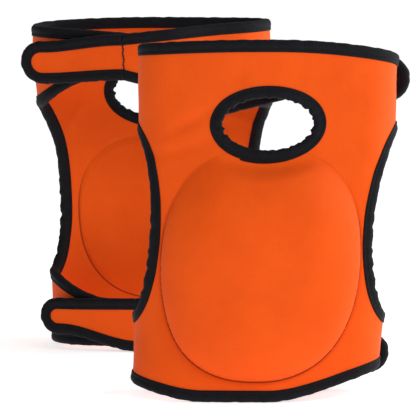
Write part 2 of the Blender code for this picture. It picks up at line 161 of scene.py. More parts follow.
def undulation(pad, s, z):
    """Slow waves of soft cloth, the same for every piece at one place of a sleeve."""
    rng = np.random.default_rng(pad["seed"])
    w = np.zeros(np.broadcast(s, z).shape)
    for length, height in ((0.16, 0.0009), (0.11, 0.0008), (0.075, 0.0006), (0.05, 0.00035),
                           (0.034, 0.00018), (0.024, 0.00010)):
        heading, phase = rng.uniform(0, math.pi), rng.uniform(0, 2 * math.pi)
        along = s * math.cos(heading) + z * math.sin(heading)
        w = w + height * np.sin(2 * math.pi * along / length + phase)
    for fold_s, fold_z, heading, length, width, depth in FOLDS:
        across = (s - fold_s) * math.sin(heading) - (z - fold_z) * math.cos(heading)
        along = (s - fold_s) * math.cos(heading) + (z - fold_z) * math.sin(heading)
        w = w - depth * np.exp(-(across / width) ** 2 - (along / length) ** 2)
    return w * (1 - 0.75 * smoothstep((abs(s) - QUARTER) / 0.03))


def sleeve_point(pad, x, y, nx, ny, s, z, w):
    """World points w outside the line (x, y) at height z."""
    w = w + undulation(pad, s, z)
    rise = z - HEIGHT / 2
    x = (x + w * nx) * (1 + WIDTH_TAPER * rise) + LEAN * rise
    y = y + w * ny
    points = np.stack(np.broadcast_arrays(x * pad["turn"], y * pad["turn"], z), axis=-1)
    return points + pad["origin"]


def on_front(pad, s, z, w):
    x, y, nx, ny = girth(s)
    return sleeve_point(pad, x, y, nx, ny, s, z, w)


def on_wing(pad, u, z, w):
    """The long wing and its tab, u round from the left side of the sleeve."""
    u = np.asarray(u, float)
    bent = np.minimum(u, SEAM + TAB_BENT)
    beyond = u - bent
    x, y, nx, ny = girth(-QUARTER - bent)
    lift = LAP * smoothstep((u - RAMP[0]) / (RAMP[1] - RAMP[0]))
    return sleeve_point(pad, x + lift * nx + beyond * ny, y + lift * ny - beyond * nx, nx, ny,
                        -QUARTER - u, z, w)


def on_flap(pad, u, z, w):
    """The short flap, u round from the right side of the sleeve."""
    x, y, nx, ny = girth(QUARTER + np.asarray(u, float))
    return sleeve_point(pad, x, y, nx, ny, QUARTER + u, z, w)


def top_edge(pad, s):
    wing_side, flap_side = TOP_DROPS[pad["name"]]
    return HEIGHT - np.where(np.asarray(s) < 0, wing_side, flap_side) * (s / QUARTER) ** 2


def hem(pad, s):
    """Height of the lower edge: flat under the middle, then rising to each side."""
    s = np.asarray(s, float)
    left, right = HEM_RISES[pad["name"]]
    wing_side = left * smoothstep((HEM_FLAT[0] - s) / (QUARTER + HEM_FLAT[0]))
    flap_side = right * smoothstep((s - HEM_FLAT[1]) / (QUARTER - HEM_FLAT[1]))
    return np.where(s < 0, wing_side, flap_side)


def cut_edge(turn):
    """Nose of the tape round a side cut-out and the way into the cloth there."""
    turn = np.asarray(turn, float)
    power = np.where(turn < 0, CUT_SQUARENESS, 1.0)
    across = np.maximum(0, np.cos(turn))
    s = QUARTER - CUT_DEPTH * across ** power
    z = CUT_CENTRE_Z + CUT_HALF_HEIGHT * np.sin(turn)
    into_s = -CUT_HALF_HEIGHT * across ** (2 - power)
    into_z = power * CUT_DEPTH * np.sin(turn)
    size = np.hypot(into_s, into_z)
    return s, z, into_s / size, into_z / size


def moulding(s, z, half_width, half_height):
    """0 in the middle of a moulded outline and 1 on it."""
    across = abs(s) / half_width
    along = abs(z - DOME_Z) / half_height
    return (across ** DOME_SQUARENESS + along ** DOME_SQUARENESS) ** (1 / DOME_SQUARENESS)


def upper_share(z):
    """0 up to the middle of the dome, 1 at its top, where it is softer and lower."""
    return smoothstep((z - DOME_Z) / DOME_HALF_HEIGHT)


def ring_fade(s, z):
    ring = np.hypot(s / (EYELET_HALF_WIDTH + TAPE_LEG), (z - EYELET_Z) / (EYELET_HALF_HEIGHT + TAPE_LEG))
    return smoothstep((ring - 1.02) / 0.42)


def dome(s, z):
    """Rise of the outer cloth over the moulded pad, with the fold round its foot."""
    radius = moulding(s, z, DOME_HALF_WIDTH, DOME_HALF_HEIGHT)
    upper = upper_share(z)
    rise = DOME_RISE * (1 - 0.15 * upper) * np.maximum(0, 1 - radius ** 2.6) ** (0.56 + 0.34 * upper)
    fold = 0.0009 * (1 - 0.8 * upper) * np.exp(-((radius - 1) / 0.016) ** 2)
    return (rise - fold) * ring_fade(s, z)


def lining_dip(s, z):
    radius = moulding(s, z, INNER_HALF_WIDTH, INNER_HALF_HEIGHT)
    rise = LINING_RISE * np.maximum(0, 1 - radius ** 2.2) ** 0.6
    fold = 0.0008 * np.exp(-((radius - 1) / 0.018) ** 2)
    return (rise - fold) * ring_fade(s, z)


# ---------------------------------------------------------------- mesh builders

def finish_piece(pad, name, mesh, material):
    piece = bpy.data.objects.new(f"{pad['name']}_{name}_detail", mesh)
    bpy.context.scene.collection.objects.link(piece)
    mesh.materials.append(MATERIALS[material])
    mesh.shade_smooth()
    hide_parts(f"{pad['name']}_{name}")
    return piece


def add_weave(mesh, cloth_places):
    """Where each point lies on its flat cloth, in metres, for the knit and the ribs."""
    layer = mesh.attributes.new("weave", "FLOAT_VECTOR", "POINT")
    layer.data.foreach_set("vector", np.asarray(cloth_places, np.float32).ravel())


def turn_outwards(mesh, weld=False):
    """Turn all faces outwards, without loose points and, if asked, without doubled ones."""
    bm = bmesh.new()
    bm.from_mesh(mesh)
    bmesh.ops.delete(bm, geom=[vert for vert in bm.verts if not vert.link_faces], context="VERTS")
    if weld:
        bmesh.ops.remove_doubles(bm, verts=bm.verts, dist=1e-7)
    bmesh.ops.recalc_face_normals(bm, faces=bm.faces)
    bm.to_mesh(mesh)
    bm.free()


def mesh_of(name, points, faces, cloth_places):
    mesh = bpy.data.meshes.new(name)
    mesh.from_pydata(np.asarray(points).reshape(-1, 3).tolist(), [], faces)
    mesh.update()
    add_weave(mesh, cloth_places)
    return mesh


def slab(pad, name, surface, s, z, outer, inner, material, keep=None):
    """A closed sheet of cloth over a grid of places: an outer skin, an inner
    skin and a rim.  outer and inner are their distances from the middle."""
    rows, columns = s.shape
    skins = [surface(pad, s, z, outer), surface(pad, s, z, inner)]
    points = np.concatenate([skin.reshape(-1, 3) for skin in skins])
    index = np.arange(rows * columns).reshape(rows, columns)
    quads = np.stack([index[:-1, :-1], index[:-1, 1:], index[1:, 1:], index[1:, :-1]], -1).reshape(-1, 4)
    if keep is not None:
        quads = quads[keep(s.ravel()[quads].mean(1), z.ravel()[quads].mean(1))]
    edges = {}
    for quad in quads.tolist():
        for a, b in zip(quad, quad[1:] + quad[:1]):
            edges[(a, b)] = True
    offset = rows * columns
    rim = [(b, a, a + offset, b + offset) for a, b in edges if (b, a) not in edges]
    faces = quads.tolist() + (quads[:, ::-1] + offset).tolist() + rim
    places = np.stack([np.tile(s.ravel(), 2), np.tile(z.ravel(), 2),
                       np.repeat([0.0, 0.5], offset)], -1)
    mesh = mesh_of(name, points, faces, places)
    turn_outwards(mesh)
    piece = finish_piece(pad, name, mesh, material)
    mesh.set_sharp_from_angle(angle=math.radians(60))
    return piece


# Cross-section of the folded tape, nose at the left: how far into the cloth
# and how far from its middle, in millimetres, for the outer and inner side
TAPE_OUTSIDE = ((8.5, 2.30), (8.25, 2.85), (7.4, 3.10), (6.7, 3.02), (6.2, 2.78), (5.7, 3.05), (4.6, 3.35),
                (3.0, 3.50), (1.6, 3.20), (0.6, 2.40), (0.05, 1.20), (-0.1, 0.0))
TAPE_INSIDE = ((8.3, 2.20), (5.0, 2.19), (1.9, 2.18), (1.2, 1.1))
STITCH_PLACE = (6.2, 2.93)
STITCH_LENGTH, STITCH_PITCH, STITCH_RADIUS = 0.0027, 0.0035, 0.00030


def tape_section():
    outside = list(TAPE_OUTSIDE) + [(e, -w) for e, w in TAPE_OUTSIDE[-2::-1]]
    inside = list(TAPE_INSIDE) + [(e, -w) for e, w in TAPE_INSIDE[::-1]]
    section = np.array(outside + inside[::-1]) / 1000
    nose = np.clip(1 - section[:, 0] / 0.0075, 0, 1)
    nose[len(outside):] *= 0.3
    return section[:, 0], section[:, 1], nose


def puckers(along, length, seed):
    """Irregular gathers along a tape, from about -1 to 1."""
    rng = np.random.default_rng(seed)
    total = np.zeros_like(along)
    for share, height in ((1.0, 0.45), (0.71, 0.3), (1.37, 0.35), (0.47, 0.22), (0.33, 0.12)):
        total += height * np.sin(2 * math.pi * along / (length * share) + rng.uniform(0, 2 * math.pi))
    return total


def along_path(path, pitch, closed):
    """The path (s, z, into s, into z and more) at an even pitch."""
    if closed:
        path = np.concatenate([path, path[:1]])
    run = np.concatenate([[0], np.cumsum(np.hypot(*np.diff(path[:, :2], axis=0).T))])
    count = max(3, int(round(run[-1] / pitch)) + 1)
    places = np.linspace(0, run[-1], count)
    even = np.stack([np.interp(places, run, column) for column in path.T], -1)
    size = np.hypot(even[:, 2], even[:, 3])
    even[:, 2:4] /= size[:, None]
    if closed:
        even, places = even[:-1], places[:-1]
    return even, places, run[-1]


def tape(pad, name, surface, path, gather, closed=False, legs=None, pitch=TAPE_PITCH):
    """Tape folded over an edge.  gather is (nose, swell, length): how far the
    nose and the sides move, and how long a gather is.  A fifth column of the
    path says how strongly the tape is gathered there."""
    even, places, total = along_path(np.array(path, float), pitch, closed)
    e, w, nose = tape_section()
    rings, ring = len(even), len(e)
    pucker = puckers(places, gather[2], pad["seed"] + len(name))
    if even.shape[1] > 4:
        pucker *= even[:, 4]
    if closed:
        pucker *= smoothstep(places / 0.01) * smoothstep((total - places) / 0.01)
    reach = np.ones(rings) if legs is None else legs(places / total)
    leg = np.where(e > 0.004, (e - 0.004)[None, :] * (reach[:, None] - 1), 0)
    into = e[None, :] + leg - gather[0] * pucker[:, None] * nose[None, :]
    swell = 1 + gather[1] / 0.0034 * pucker[:, None] * nose[None, :]
    s = even[:, 0:1] + into * even[:, 2:3]
    z = even[:, 1:2] + into * even[:, 3:4]
    points = surface(pad, s, z, w[None, :] * swell)
    index = np.arange(rings * ring).reshape(rings, ring)
    around = np.roll(index, -1, axis=1)
    following = np.roll(index, -1, axis=0)
    following_around = np.roll(around, -1, axis=0)
    quads = np.stack([index, following, following_around, around], -1)
    quads = quads if closed else quads[:-1]
    faces = quads.reshape(-1, 4).tolist()
    if not closed:
        faces += [tuple(index[0]), tuple(index[-1][::-1])]
    distance = np.concatenate([[0], np.cumsum(np.hypot(np.diff(e), np.diff(w)))])
    weave = np.stack(np.broadcast_arrays(places[:, None], distance[None, :], 0.0), -1).reshape(-1, 3)
    points, faces, weave = add_stitches(pad, surface, even, places, total, reach, points.reshape(-1, 3),
                                        faces, weave)
    mesh = mesh_of(name, points, faces, weave)
    turn_outwards(mesh)
    return finish_piece(pad, name, mesh, "binding")


def add_stitches(pad, surface, even, places, total, reach, points, faces, weave):
    """The sewn line of the tape: short threads lying in its groove, on both sides."""
    groove = STITCH_PLACE[0] / 1000 + 0.0022 * (reach - 1)
    line_s = even[:, 0] + groove * even[:, 2]
    line_z = even[:, 1] + groove * even[:, 3]
    starts = np.arange(0.0008, total - STITCH_LENGTH - 0.0005, STITCH_PITCH)
    shares = np.array([0, 0.12, 0.5, 0.88, 1.0])
    widths = np.array([0.15, 0.8, 1.0, 0.8, 0.15]) * STITCH_RADIUS
    turns = np.arange(5) * 2 * math.pi / 5
    at = starts[:, None] + shares[None, :] * STITCH_LENGTH
    s, z = np.interp(at, places, line_s), np.interp(at, places, line_z)
    into_s, into_z = np.interp(at, places, even[:, 2]), np.interp(at, places, even[:, 3])
    sink = 0.00035 * (2 * shares - 1) ** 2
    for side in (1, -1):
        across = (widths[:, None] * np.cos(turns))[None]
        out = STITCH_PLACE[1] / 1000 - sink[:, None] + widths[:, None] * np.sin(turns)
        ring_points = surface(pad, s[..., None] + across * into_s[..., None],
                              z[..., None] + across * into_z[..., None], side * out[None])
        base = len(points)
        index = base + np.arange(ring_points[..., 0].size).reshape(ring_points.shape[:3])
        around = np.roll(index, -1, axis=2)
        quads = np.stack([index[:, :-1], index[:, 1:], around[:, 1:], around[:, :-1]], -1)
        faces = faces + quads.reshape(-1, 4).tolist()
        faces += index[:, 0, ::-1].tolist() + index[:, -1].tolist()
        points = np.concatenate([points, ring_points.reshape(-1, 3)])
        mark = np.stack(np.broadcast_arrays(at[..., None], turns * 0.0003, 1.0), -1)
        weave = np.concatenate([weave, mark.reshape(-1, 3)])
    return points, faces, weave


# ---------------------------------------------------------------- materials

def shader_of(name, colour, roughness, sheen, sheen_roughness, tint):
    material = bpy.data.materials.new(name)
    material.use_nodes = True
    shader = material.node_tree.nodes["Principled BSDF"]
    shader.inputs["Base Color"].default_value = (*colour, 1)
    shader.inputs["Roughness"].default_value = roughness
    shader.inputs["Sheen Weight"].default_value = sheen
    shader.inputs["Sheen Roughness"].default_value = sheen_roughness
    shader.inputs["Sheen Tint"].default_value = (*tint, 1)
    shader.inputs["Specular IOR Level"].default_value = 0.16
    return material, material.node_tree, shader


def weave_places(tree, scale):
    """The cloth's own places, in units of scale metres."""
    attribute = tree.nodes.new("ShaderNodeAttribute")
    attribute.attribute_name = "weave"
    mapping = tree.nodes.new("ShaderNodeMapping")
    mapping.inputs["Scale"].default_value = (1 / scale[0], 1 / scale[1], 1)
    tree.links.new(attribute.outputs["Vector"], mapping.inputs["Vector"])
    return mapping.outputs["Vector"]


def texture(tree, kind, vector, **values):
    node = tree.nodes.new(f"ShaderNodeTex{kind}")
    for name, value in values.items():
        if name in node.inputs:
            node.inputs[name].default_value = value
        else:
            setattr(node, name, value)
    tree.links.new(vector, node.inputs["Vector"])
    return node


def blend_colours(tree, shader, fac, low, high):
    ramp = tree.nodes.new("ShaderNodeValToRGB")
    ramp.color_ramp.elements[0].color = (*low, 1)
    ramp.color_ramp.elements[1].color = (*high, 1)
    ramp.color_ramp.elements[0].position = 0.3
    ramp.color_ramp.elements[1].position = 0.7
    tree.links.new(fac, ramp.inputs["Fac"])
    tree.links.new(ramp.outputs["Color"], shader.inputs["Base Color"])


def bump(tree, shader, height, strength, distance, under=None):
    node = tree.nodes.new("ShaderNodeBump")
    node.inputs["Strength"].default_value = strength
    node.inputs["Distance"].default_value = distance
    tree.links.new(height, node.inputs["Height"])
    if under:
        tree.links.new(under.outputs["Normal"], node.inputs["Normal"])
    tree.links.new(node.outputs["Normal"], shader.inputs["Normal"])
    return node


def maths(tree, operation, first, second):
    """A math node on two sockets or numbers."""
    node = tree.nodes.new("ShaderNodeMath")
    node.operation = operation
    for socket, value in zip(node.inputs, (first, second)):
        if isinstance(value, (int, float)):
            socket.default_value = value
        else:
            tree.links.new(value, socket)
    return node.outputs[0]


def painted_fold_shade(tree, shader, half_width, half_height, width, depth):
    """The pressed line round the moulding, darkened with painted shade of the fold and its glue line: fades
    out upwards.
    """
    split = tree.nodes.new("ShaderNodeSeparateXYZ")
    tree.links.new(weave_places(tree, (1, 1)), split.inputs["Vector"])
    across = maths(tree, "DIVIDE", maths(tree, "ABSOLUTE", split.outputs["X"], 0.0), half_width)
    height = maths(tree, "SUBTRACT", split.outputs["Y"], DOME_Z)
    along = maths(tree, "DIVIDE", maths(tree, "ABSOLUTE", height, 0.0), half_height)
    powers = [maths(tree, "POWER", share, DOME_SQUARENESS) for share in (across, along)]
    radius = maths(tree, "POWER", maths(tree, "ADD", *powers), 1 / DOME_SQUARENESS)
    apart = maths(tree, "DIVIDE", maths(tree, "SUBTRACT", radius, 1.0), width)
    line = maths(tree, "EXPONENT", maths(tree, "MULTIPLY", maths(tree, "MULTIPLY", apart, apart), -1.0), 0.0)
    lower = tree.nodes.new("ShaderNodeMapRange")
    lower.interpolation_type = "SMOOTHSTEP"
    for socket, value in (("From Min", 0.05), ("From Max", 0.0), ("To Min", 0.10), ("To Max", 1.0)):
        lower.inputs[socket].default_value = value
    tree.links.new(height, lower.inputs["Value"])
    mix = tree.nodes.new("ShaderNodeMix")
    mix.data_type = "RGBA"
    share = maths(tree, "MULTIPLY", maths(tree, "MULTIPLY", line, lower.outputs["Result"]), depth)
    tree.links.new(share, mix.inputs["Factor"])
    tree.links.new(shader.inputs["Base Color"].links[0].from_socket, mix.inputs["A"])
    # painted shade: dark orange mixed into the base colour along the fold, strongest low down
    mix.inputs["B"].default_value = (0.16, 0.010, 0.001, 1)
    tree.links.new(mix.outputs["Result"], shader.inputs["Base Color"])


def knit_material(name, low, high, sheen, fold=None):
    """Fine jersey over foam: rows of loops, a little nap, a slow drift of tone."""
    material, tree, shader = shader_of(name, high, 0.68, sheen, 0.45, (1.0, 0.62, 0.38))
    drift = texture(tree, "Noise", weave_places(tree, (0.035, 0.035)), Scale=1.0, Detail=4.0, Roughness=0.6)
    grain = texture(tree, "Noise", weave_places(tree, (0.0011, 0.0009)), Scale=1.0, Detail=3.0,
                    Roughness=0.7)
    mix = tree.nodes.new("ShaderNodeMath")
    mix.operation = "MULTIPLY_ADD"
    mix.inputs[1].default_value = 0.45
    tree.links.new(grain.outputs["Fac"], mix.inputs[0])
    tree.links.new(maths(tree, "MULTIPLY", drift.outputs["Fac"], 0.55), mix.inputs[2])
    blend_colours(tree, shader, mix.outputs[0], low, high)
    wales = texture(tree, "Wave", weave_places(tree, (0.0009, 0.0009)), Scale=0.31, Distortion=1.2,
                    bands_direction="X")
    wales.inputs["Detail"].default_value = 1.0
    first = bump(tree, shader, wales.outputs["Fac"], 0.35, 0.00012)
    courses = texture(tree, "Wave", weave_places(tree, (0.0007, 0.0007)), Scale=0.31, Distortion=1.5,
                      bands_direction="Y")
    second = bump(tree, shader, courses.outputs["Fac"], 0.30, 0.00010, first)
    bump(tree, shader, grain.outputs["Fac"], 0.35, 0.00018, second)
    # painted shade along the fold round the moulding
    if fold:
        painted_fold_shade(tree, shader, *fold)
    return material


def binding_material():
    """Black stretch tape: ribs across its length, a soft grey-blue nap."""
    material, tree, shader = shader_of("binding", (0.004, 0.0045, 0.006), 0.7, 0.04, 0.4, (0.55, 0.62, 0.8))
    tone = texture(tree, "Noise", weave_places(tree, (0.006, 0.004)), Scale=1.0, Detail=5.0, Roughness=0.65)
    blend_colours(tree, shader, tone.outputs["Fac"], (0.0020, 0.0022, 0.0035), (0.0060, 0.0066, 0.0095))
    ribs = texture(tree, "Wave", weave_places(tree, (0.0011, 0.0011)), Scale=0.31, Distortion=0.6,
                   bands_direction="Y")
    first = bump(tree, shader, ribs.outputs["Fac"], 0.5, 0.00018)
    nap = texture(tree, "Noise", weave_places(tree, (0.0013, 0.0006)), Scale=1.0, Detail=4.0, Roughness=0.75)
    bump(tree, shader, nap.outputs["Fac"], 0.5, 0.00025, first)
    return material


def foam_material(name, low, high, cell):
    material, tree, shader = shader_of(name, high, 0.85, 0.1, 0.5, (1, 1, 1))
    cells = texture(tree, "Voronoi", weave_places(tree, (cell, cell)), Scale=1.0)
    blend_colours(tree, shader, cells.outputs["Distance"], low, high)
    bump(tree, shader, cells.outputs["Distance"], 0.6, cell * 0.4)
    return material


def hook_material():
    material, tree, shader = shader_of("hook_tape", (0.014, 0.014, 0.016), 0.5, 0.1, 0.4, (1, 1, 1))
    hooks = texture(tree, "Voronoi", weave_places(tree, (0.0013, 0.0013)), Scale=1.0, Randomness=0.15)
    blend_colours(tree, shader, hooks.outputs["Distance"], (0.03, 0.03, 0.034), (0.008, 0.008, 0.010))
    node = bump(tree, shader, hooks.outputs["Distance"], 0.9, 0.0006)
    node.invert = True
    return material


def loop_material():
    material, tree, shader = shader_of("loop_tape", (0.02, 0.02, 0.022), 0.92, 0.5, 0.6, (0.7, 0.7, 0.75))
    pile = texture(tree, "Noise", weave_places(tree, (0.0012, 0.0012)), Scale=1.0, Detail=6.0,
                   Roughness=0.8, Distortion=1.5)
    blend_colours(tree, shader, pile.outputs["Fac"], (0.010, 0.010, 0.011), (0.035, 0.035, 0.038))
    bump(tree, shader, pile.outputs["Fac"], 0.9, 0.0006)
    return material


def thread_material():
    material, tree, shader = shader_of("thread", (0.009, 0.009, 0.011), 0.45, 0.1, 0.3, (1, 1, 1))
    twist = texture(tree, "Wave", weave_places(tree, (0.0008, 0.0008)), Scale=0.31, Distortion=0.3,
                    bands_direction="DIAGONAL")
    blend_colours(tree, shader, twist.outputs["Fac"], (0.006, 0.006, 0.008), (0.016, 0.016, 0.019))
    bump(tree, shader, twist.outputs["Fac"], 0.8, 0.0002)
    return material


ORANGE_LOW, ORANGE_HIGH = (0.80, 0.078, 0.001), (0.93, 0.105, 0.002)
LINING_LOW, LINING_HIGH = (0.78, 0.082, 0.001), (0.90, 0.104, 0.002)
MATERIALS = {
    "neoprene": knit_material("neoprene", ORANGE_LOW, ORANGE_HIGH, 0.10),
    # the moulded shell and lining carry painted shade in the fold round the dome
    "moulded_shell": knit_material("moulded_shell", ORANGE_LOW, ORANGE_HIGH, 0.10,
                                   (DOME_HALF_WIDTH, DOME_HALF_HEIGHT, 0.008, 0.85)),
    "moulded_lining": knit_material("moulded_lining", LINING_LOW, LINING_HIGH, 0.05,
                                    (INNER_HALF_WIDTH, INNER_HALF_HEIGHT, 0.009, 0.80)),
    "binding": binding_material(),
    "eva_foam": foam_material("eva_foam", (0.02, 0.02, 0.022), (0.04, 0.04, 0.043), 0.0012),
    "comfort_foam": foam_material("comfort_foam", (0.40, 0.41, 0.43), (0.60, 0.61, 0.63), 0.0018),
    "hook": hook_material(),
    "loop": loop_material(),
    "thread": thread_material(),
}


# ---------------------------------------------------------------- front panel

def panel_places(pad):
    """Grid of (s, z) over the front panel, closed up beside the cut-outs."""
    turns = np.linspace(-math.pi / 2, math.pi / 2, 721)
    cut_s, cut_z, into_s, into_z = cut_edge(turns)
    cloth_s, cloth_z = cut_s + INSET * into_s, cut_z + INSET * into_z
    low_z, high_z = cloth_z[0], cloth_z[-1]
    kept = FRONT_ARC * 0.8
    middle = np.linspace(-kept, kept, int(2 * kept / PITCH) + 1)
    outer = np.linspace(kept, QUARTER, int((QUARTER - kept) / PITCH) + 1)[1:]
    columns = np.concatenate([-outer[::-1], middle, outer])

    def narrowed(edge):
        beyond = np.maximum(abs(columns) - kept, 0) * (edge - kept) / (QUARTER - kept)
        return np.sign(columns) * (np.minimum(abs(columns), kept) + beyond)

    rows_s, rows_z = [], []
    for t in np.linspace(0, 1, int(low_z / PITCH))[:-1]:
        start = hem(pad, columns) + INSET
        rows_s.append(columns)
        rows_z.append(start + t * (low_z - start))
    for t in np.linspace(-1, 1, int((high_z - low_z) / PITCH)):
        turn = math.pi / 2 * (0.75 * t + 0.25 * math.copysign(1 - (1 - abs(t)) ** 2, t))
        edge, z = np.interp(turn, turns, cloth_s), np.interp(turn, turns, cloth_z)
        rows_s.append(narrowed(min(edge, QUARTER)))
        rows_z.append(np.full_like(columns, z))
    for t in np.linspace(0, 1, int((HEIGHT - high_z) / PITCH))[1:]:
        rows_s.append(columns)
        rows_z.append(high_z + t * (top_edge(pad, columns) - INSET - high_z))
    return np.array(rows_s), np.array(rows_z)


def drawn_to(s, z, centre_z, radius, reach):
    """Move the places that lie within reach of a closed line onto it, for a clean fold."""
    near = abs(radius - 1) < reach
    scale = np.where(near, 1 / np.maximum(radius, 1e-6), 1)
    return s * scale, centre_z + (z - centre_z) * scale


def front_panel(pad):
    hole = (EYELET_HALF_WIDTH + 1.5 * INSET, EYELET_HALF_HEIGHT + 1.5 * INSET)

    def outside_hole(s, z):
        return np.hypot(s / hole[0], (z - EYELET_Z) / hole[1]) > 1

    def places(half_width, half_height):
        s, z = panel_places(pad)
        s, z = drawn_to(s, z, DOME_Z, moulding(s, z, half_width, half_height), 0.0115)
        return drawn_to(s, z, EYELET_Z, np.hypot(s / hole[0], (z - EYELET_Z) / hole[1]), 0.03)

    s, z = places(DOME_HALF_WIDTH, DOME_HALF_HEIGHT)
    rise = dome(s, z)
    shell = slab(pad, "outer_shell", on_front, s, z, PLY_GAP / 2 + PLY + rise, PLY_GAP / 2 + rise,
                 "moulded_shell", outside_hole)
    s, z = places(INNER_HALF_WIDTH, INNER_HALF_HEIGHT)
    dip = lining_dip(s, z)
    lining = slab(pad, "inner_lining", on_front, s, z, -PLY_GAP / 2 - dip, -PLY_GAP / 2 - PLY - dip,
                  "moulded_lining", outside_hole)
    for piece in (shell, lining):
        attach(piece, f"{pad['name']}_pad")
    return shell, lining


def foam_pad(pad, name, centre_z, half_width, half_height, outer, inner, seat, material):
    """A closed pad between the layers, with its moulded rim."""
    turns = np.linspace(0, 2 * math.pi, FOAM_TURNS, endpoint=False)
    shares = np.concatenate([np.linspace(0, 1, FOAM_RINGS), np.linspace(1, 0, FOAM_RINGS)])
    faces_out = np.arange(2 * FOAM_RINGS) < FOAM_RINGS
    across = shares[:, None] * np.cos(turns)
    along = shares[:, None] * np.sin(turns)
    swell = np.sqrt(np.maximum(0, 1 - shares ** 2))
    w = seat + np.where(faces_out, outer, inner) * swell
    points = on_front(pad, across * half_width, centre_z + along * half_height, w[:, None])
    index = np.arange(points[..., 0].size).reshape(points.shape[:2])
    around = np.roll(index, -1, axis=1)
    faces = np.stack([index[:-1], index[1:], around[1:], around[:-1]], -1).reshape(-1, 4).tolist()
    places = np.stack(np.broadcast_arrays(across * half_width, along * half_height, 0.0), -1)
    mesh = mesh_of(name, points, faces, places.reshape(-1, 3))
    turn_outwards(mesh, weld=True)
    piece = finish_piece(pad, name, mesh, material)
    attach(piece, f"{pad['name']}_pad")
    return piece


def front_tapes(pad):
    s = np.linspace(-QUARTER, QUARTER, 160)
    none, body = np.zeros_like(s), f"{pad['name']}_pad"
    calm, gathered, tight = (0.00022, 0.00016, 0.012), (0.0008, 0.0005, 0.0105), (0.0011, 0.0006, 0.0062)
    tapes = [tape(pad, "top_binding", on_front, np.stack([s, top_edge(pad, s), none, none - 1], -1), calm),
             tape(pad, "bottom_binding", on_front, np.stack([s, hem(pad, s), none, none + 1], -1), calm)]
    turns = np.linspace(-math.pi / 2, math.pi / 2, 181)
    cut_s, cut_z, into_s, into_z = cut_edge(turns)
    for side, name in ((-1, "wing_side_binding"), (1, "flap_side_binding")):
        gathering = 0.3 + 0.7 * smoothstep((0.35 - np.sin(turns)) / 0.7) * np.cos(turns)
        path = np.stack([side * cut_s, cut_z, side * into_s, into_z, gathering], -1)
        tapes.append(tape(pad, name, on_front, path, gathered, pitch=TAPE_PITCH * 0.75))
    overlap = math.radians(242)
    turns = overlap + np.linspace(0, 2 * math.pi, 240, endpoint=False)
    out_s, out_z = np.cos(turns) * EYELET_HALF_HEIGHT, np.sin(turns) * EYELET_HALF_WIDTH
    path = np.stack([np.cos(turns) * EYELET_HALF_WIDTH, EYELET_Z + np.sin(turns) * EYELET_HALF_HEIGHT,
                     out_s, out_z, 0.35 + 0.65 * np.cos(turns) ** 2], -1)
    tapes.append(tape(pad, "eyelet_binding", on_front, path, tight, closed=True, pitch=TAPE_PITCH / 2,
                      legs=lambda share: 1.22 - 0.22 * smoothstep(share / 0.25)))
    for piece in tapes:
        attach(piece, body)
    return tapes


# ---------------------------------------------------------------- bands

def line_between(start, end, length):
    """Height along a band: level where it leaves the side, then straight."""
    def height(u):
        t = u / length
        return start + (end - start) * np.where(t < 1, t * t * (1.5 - 0.5 * t), t)
    return height


def settling(start, end, place=0.0):
    """Height along a band that eases to its final height from place on."""
    return lambda u: start + (end - start) * smoothstep((u - place) / SETTLING)


def band_places(start, end, low, high, radius):
    """Grid of (u, z) over a band with a rounded end, or a square one where radius is 0."""
    base = end - radius
    u = np.append(np.linspace(start, base, max(3, int((base - start) / (1.5 * PITCH)))),
                  [base + (radius - INSET) * math.sin(turn) for turn in np.linspace(0, 1.5, 10)[1:]]
                  if radius else [])
    over = np.maximum(0, u - base)
    rounded = (radius - INSET) - np.sqrt(np.maximum(0, (radius - INSET) ** 2 - over ** 2)) if radius else 0
    at = np.minimum(u, base)
    bottom, top = low(at) + INSET + rounded, high(at) - INSET - rounded
    share = np.linspace(0, 1, 18)[:, None]
    z = bottom + share * (top - bottom)
    return np.broadcast_to(u, z.shape).copy(), z


def end_path(start, end, low, high, radius):
    """Nose line of the tape: out along the bottom, round the end, back along the top."""
    base = end - radius
    u = np.linspace(start, base, 60)
    out = np.stack([u, low(u), np.zeros(60), np.ones(60)], -1)
    back = np.stack([u, high(u), np.zeros(60), -np.ones(60)], -1)[::-1]
    arcs = []
    for centre_z, turns in ((float(low(base)) + radius, np.linspace(-math.pi / 2, 0, 24)[1:]),
                            (float(high(base)) - radius, np.linspace(0, math.pi / 2, 24)[1:-1])):
        arcs.append(np.stack([base + radius * np.cos(turns), centre_z + radius * np.sin(turns),
                              -np.cos(turns), -np.sin(turns)], -1))
    return np.concatenate([out, arcs[0], arcs[1], back])


def bend_at_side(piece, side):
    """Bake the piece's placement into its mesh; no bend is made at the side of the sleeve."""
    x, y, _, _ = girth(side * QUARTER)
    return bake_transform(piece)


def bend_at_seam(pad, piece):
    start = on_wing(pad, SEAM, 0.1, 0.0)
    ahead = on_wing(pad, SEAM + 0.001, 0.1, 0.0) - start
    ahead[2] = 0
    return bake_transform(piece)


def wing(pad, band, low, high):
    """The long wing: cloth, a tape along each edge and the stitched end."""
    body = f"{pad['name']}_{band}_strap"
    u, z = band_places(0.0, SEAM, low, high, 0)
    cloth = slab(pad, f"{band}_strap", on_wing, u, z, CLOTH / 2, -CLOTH / 2, "neoprene")
    run = np.linspace(0, SEAM, 120)
    none, calm = np.zeros_like(run), (0.0002, 0.00015, 0.011)
    tapes = [tape(pad, f"{band}_strap_{edge}_binding", on_wing,
                  np.stack([run, height(run), none, none + into], -1), calm)
             for edge, height, into in (("bottom", low, 1), ("top", high, -1))]
    for piece in [cloth] + tapes:
        bend_at_side(piece, -1)
    stitch = seam_stitch(pad, band, low, high)
    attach(stitch, body)
    width = float(np.mean(high(run) - low(run)))


